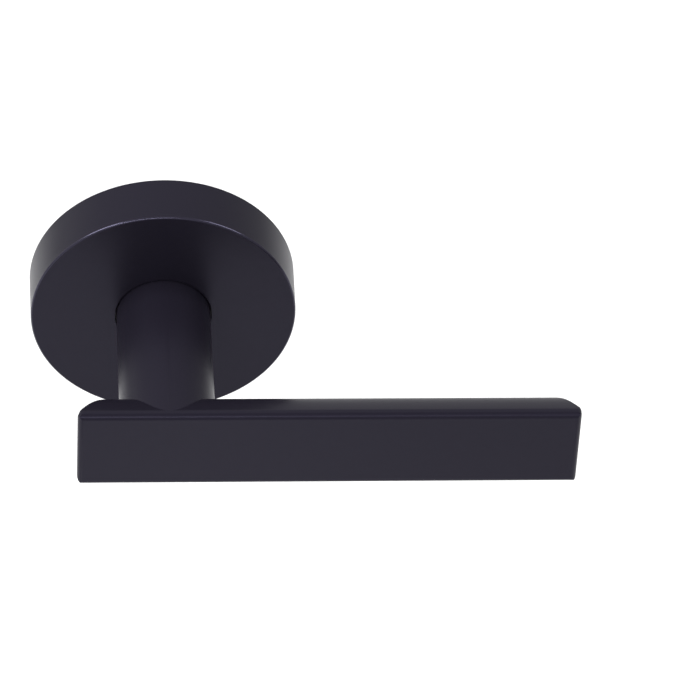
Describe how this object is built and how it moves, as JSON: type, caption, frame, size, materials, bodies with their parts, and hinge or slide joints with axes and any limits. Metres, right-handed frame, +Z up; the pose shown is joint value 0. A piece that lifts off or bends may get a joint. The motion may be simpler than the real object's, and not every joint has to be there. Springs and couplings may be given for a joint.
{
  "type": "lever door handle",
  "caption": "Straight lever door handle on a round sprung rose, with square spindle, return springs and threaded mounting posts.",
  "frame": {"origin": "on the spindle axis, at the door face where the rose sits", "axes": "+X along the lever from the neck to the tip, +Y into the door along the spindle, +Z up"},
  "size_m": [0.1331, 0.0907, 0.0664],
  "materials": {
    "lever_coat": "satin black powder coat on cast zinc, very fine grain",
    "rose_coat": "satin black powder coat on a turned cup, very fine grain",
    "die_cast_zinc": "as-cast zinc, dull grey",
    "plated_steel": "zinc plated pressed steel",
    "spindle_bar": "bright drawn square bar",
    "sintered_steel": "oil-soaked sintered steel",
    "spring_wire": "drawn spring wire",
    "acetal": "black acetal, moulded",
    "foam_rubber": "black closed-cell foam rubber",
    "black_oxide_steel": "black oxide on steel",
    "screw_steel": "yellow passivated steel",
    "post_steel": "turned and plated steel"
  },
  "bodies": {
    "rose": {"spring_housing": "die_cast_zinc", "mounting_plate": "plated_steel", "neck_bush": "acetal", "tail_bush": "acetal", "cover_snap_ring": "spring_wire", "door_gasket": "foam_rubber", "return_spring_left": "spring_wire", "return_spring_right": "spring_wire", "plate_screw_1": "screw_steel", "plate_screw_2": "screw_steel", "plate_screw_3": "screw_steel", "plate_screw_4": "screw_steel", "mounting_post_left": "post_steel", "mounting_post_right": "post_steel"},
    "lever": {"lever_handle": "lever_coat", "spindle": "spindle_bar", "spindle_set_screw": "black_oxide_steel", "spring_driver": "sintered_steel", "thrust_washer": "plated_steel", "retaining_ring": "black_oxide_steel"},
    "cover": {"rose_cover": "rose_coat"}
  },
  "joints": [
    {"name": "lever_turn", "type": "hinge", "parent": "rose", "child": "lever", "pos_m": [0, 0, 0], "axis": [0, 1, 0], "range_deg": [-45, 45], "stiffness_Nm_per_rad": 1.2, "springref_deg": -3.79, "deforming": ["return_spring_left", "return_spring_right"]},
    {"name": "rose_cover_slide", "type": "slide", "parent": "rose", "child": "cover", "axis": [0, -1, 0], "range_m": [0, 0.031], "deforming": ["cover_snap_ring"]}
  ]
}
